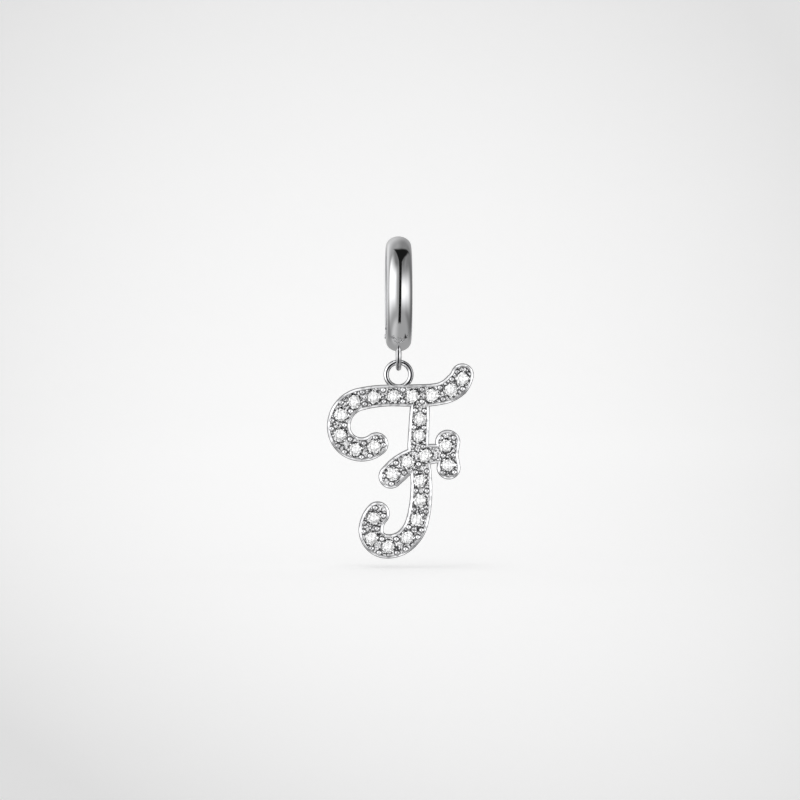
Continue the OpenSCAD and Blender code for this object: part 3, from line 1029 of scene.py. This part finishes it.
plate_section = [
    (BACK_R * (1 - math.sin(a)), -FRONT + BACK_R * (1 - math.cos(a))) for a in quarter
]
plate_section += [
    (EDGE_R * (1 - math.cos(a)), FRONT - RIM_SLOPE - EDGE_R * (1 - math.sin(a))) for a in quarter
]
plate_section += [(RIM_W - INNER_R, FRONT), (RIM_W, FRONT)]
field_section = [(RIM_W, FIELD)]
field_section += [
    (RIM_W - INNER_R * (1 - math.cos(a)), FRONT - INNER_R * (1 - math.sin(a))) for a in quarter
]
field_section.append((RIM_W - INNER_R, FRONT + INNER_R))

plates = [stroke_solid(name, stroke, plate_section) for name, stroke in STROKES.items()]
letter = plates[0]
work(letter, plates[1:], "UNION")
work(letter, [stroke_solid("field", stroke, field_section) for stroke in STROKES.values()], "DIFFERENCE")
print("rimmed plate:", len(letter.data.polygons), "faces")

# %% [markdown]
# ## Beads
# A setter raises small beads of metal over the edge of each stone. They repeat
# by the dozen, so Geometry Nodes put one round bead on every point, and one
# named input holds their size.

# %% Bead nodes
def bead_tree(material):
    tree = bpy.data.node_groups.new("beads", "GeometryNodeTree")
    face = tree.interface
    face.new_socket("Points", in_out="INPUT", socket_type="NodeSocketGeometry")
    face.new_socket("Bead radius", in_out="INPUT", socket_type="NodeSocketFloat")
    face.new_socket("Sides", in_out="INPUT", socket_type="NodeSocketInt")
    face.new_socket("Beads", in_out="OUTPUT", socket_type="NodeSocketGeometry")
    kinds = {
        "start": "NodeGroupInput",
        "ball": "GeometryNodeMeshUVSphere",
        "place": "GeometryNodeInstanceOnPoints",
        "real": "GeometryNodeRealizeInstances",
        "paint": "GeometryNodeSetMaterial",
        "end": "NodeGroupOutput",
    }
    made = {name: tree.nodes.new(kind) for name, kind in kinds.items()}
    made["paint"].inputs["Material"].default_value = material
    joins = [
        (("start", "Points"), ("place", "Points")),
        (("start", "Bead radius"), ("ball", "Radius")),
        (("start", "Sides"), ("ball", "Segments")),
        (("start", "Sides"), ("ball", "Rings")),
        (("ball", "Mesh"), ("place", "Instance")),
        (("place", "Instances"), ("real", "Geometry")),
        (("real", "Geometry"), ("paint", "Geometry")),
        (("paint", "Geometry"), ("end", "Beads")),
    ]
    for (a, out), (b, into) in joins:
        tree.links.new(made[a].outputs[out], made[b].inputs[into])
    return tree


def beads_of(name, places, tree, radius, sides=24):
    """One mesh of balls, a ball on each place."""
    mesh = bpy.data.meshes.new(name)
    mesh.from_pydata([tuple(p) for p in places], [], [])
    made = link(name, mesh)
    step = made.modifiers.new("beads", "NODES")
    step.node_group = tree
    sockets = {item.name: item.identifier for item in tree.interface.items_tree}
    step[sockets["Bead radius"]] = radius
    step[sockets["Sides"]] = sides
    graph = bpy.context.evaluated_depsgraph_get()
    mesh = bpy.data.meshes.new_from_object(made.evaluated_get(graph))
    made.modifiers.clear()
    made.data = mesh
    return made


def stone_step(stroke, step):
    """The share of the length at a place counted in stones."""
    shares = [place[0] for place in stroke["stones"]]
    i = max(0, min(len(shares) - 2, math.floor(step) - 1))
    return shares[i] + (step - 1 - i) * (shares[i + 1] - shares[i])


bead_z = BEAD_TOP - BEAD_R
tree = bead_tree(letter_silver)
bead_groups = []
for name, stroke in STROKES.items():
    places = []
    for step, side in stroke["beads"]:
        state = stroke_at(stroke, stone_step(stroke, step))
        places.append(upright(*beside(state, side * state[3]), bead_z))
    bead_groups.append(beads_of("beads of the " + name, places, tree, BEAD_R))
work(letter, bead_groups, "UNION")
print("with beads:", len(letter.data.polygons), "faces")

# %% [markdown]
# ## Seats and the ring
# Each seat is the stone's own shape with a hair of clearance, cut down to a
# hole that lets light in from behind. It also notches the beads, which is what
# holds the stone. The ring is a closed circle of wire, soldered on last.

# %% Seats and ring
GIRDLE_T, PAVILION = 0.04 * MM, 0.68 * MM
TABLE_R, CROWN_MID_R = 0.68 * STONE_R, 0.88 * STONE_R
CROWN_MID = CROWN * (STONE_R - CROWN_MID_R * math.cos(math.pi / 8)) / (STONE_R - TABLE_R)
HOLE_R, GAP = 0.35 * MM, 0.02 * MM

seat = [
    (0, -FRONT - GIRDLE - OVER),
    (HOLE_R, -FRONT - GIRDLE - OVER),
    (HOLE_R, -GIRDLE_T - PAVILION * (1 - HOLE_R / STONE_R) - GAP),
    (STONE_R + GAP, -GIRDLE_T - GAP),
    (STONE_R + GAP, FIELD - GIRDLE),
    (CROWN_MID_R + 2 * GAP, CROWN_MID + GAP),
    (TABLE_R + 2 * GAP, CROWN + GAP),
    (0, CROWN + GAP),
]
seat_points, seat_faces = lathe(seat, 64)
points, faces = [], []
for stroke in STROKES.values():
    for share, aside in stroke["stones"]:
        x, y = beside(stroke_at(stroke, share), aside)
        first = len(points)
        points += [upright(x + p.x, y + p.y, GIRDLE + p.z) for p in seat_points]
        faces += [tuple(first + i for i in face) for face in seat_faces]
seats = build("seats", points, faces)

ring_place = Matrix.Translation((0, 0, RING_Z)) @ Matrix.Rotation(math.radians(90), 4, "X")
work(letter, [torus("ring", LINK_R, WIRE_R, ring_place)], "UNION")
work(letter, [seats], "DIFFERENCE")
letter.name = "letter_body"
polish(letter, letter_silver)
marks = letter.data.attributes.new("seat", "FLOAT", "FACE")
spots = [
    upright(*beside(stroke_at(stroke, share), aside), 0)
    for stroke in STROKES.values() for share, aside in stroke["stones"]
]
for face in letter.data.polygons:
    corners = [letter.data.vertices[i].co for i in face.vertices]
    spot = min(spots, key=lambda p: math.hypot(corners[0].x - p.x, corners[0].z - p.z))
    far = max(math.hypot(c.x - spot.x, c.z - spot.z) for c in corners)
    marks.data[face.index].value = float(far < STONE_R + 1.2 * GAP)
tilts = letter.data.attributes.new("tilt", "FLOAT", "CORNER")
for corner, normal in enumerate(letter.data.corner_normals):
    tilts.data[corner].value = 1 - abs(normal.vector.y)
letter.visible_glossy = False
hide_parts("letter")
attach(letter, "initial")
print("letter:", len(letter.data.polygons), "faces")

# %% [markdown]
# ## Cards for the letter and the stones
# The flat letter would mirror the dark gap. So the photographer lights it
# apart: four bright cards stand round the camera and leave only a small dark
# hole, which is the dot in the middle of each bead. The stones see one card.

# %% Bright cards
def group(name, pieces):
    made = bpy.data.collections.new(name)
    for piece in pieces:
        made.objects.link(piece)
    return made


CARD_AWAY, CARD_HOLE, CARD_SIZE = 0.3, 0.11, 0.3
SIDE_LEVEL, HIGH_LEVEL = 0.55, 0.75
FRONT_SIZE, FRONT_LEVEL = 0.5, 0.95
side_way = Vector((math.cos(AZIMUTH), math.sin(AZIMUTH), 0))
up_way = side_way.cross(-back) * -1
middle = aim + back * CARD_AWAY
letter_group = group("letter alone", [letter])
stone_group = group("stones alone", [frame["nodes"][name] for name in stones])


def card_power(size, level):
    """The power that makes a square card of that size shine at a level."""
    return level * math.pi * size * size


for name, way, level in (
    ("right", side_way, SIDE_LEVEL),
    ("left", -side_way, SIDE_LEVEL),
    ("upper", up_way, HIGH_LEVEL),
    ("lower", -up_way, HIGH_LEVEL),
):
    place = middle + way * (CARD_HOLE + CARD_SIZE / 2)
    lamp(name + " card", place, CARD_SIZE, card_power(CARD_SIZE, level), letter_group)
lamp("front card", middle, FRONT_SIZE, card_power(FRONT_SIZE, FRONT_LEVEL), stone_group)

# %% [markdown]
# ## Close
# The picture keeps plain colours, with no film curve over them. The last cell
# prints the box of the dressed pendant.

# %% Colours and the box of the pendant
scene = bpy.context.scene
scene.view_settings.view_transform = "Standard"
scene.cycles.max_bounces = 16
scene.cycles.transmission_bounces = 14
scene.cycles.glossy_bounces = 6
scene.cycles.diffuse_bounces = 1

low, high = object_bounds()
print("visual box in mm:", [round(v / MM, 3) for v in (*low, *high)])
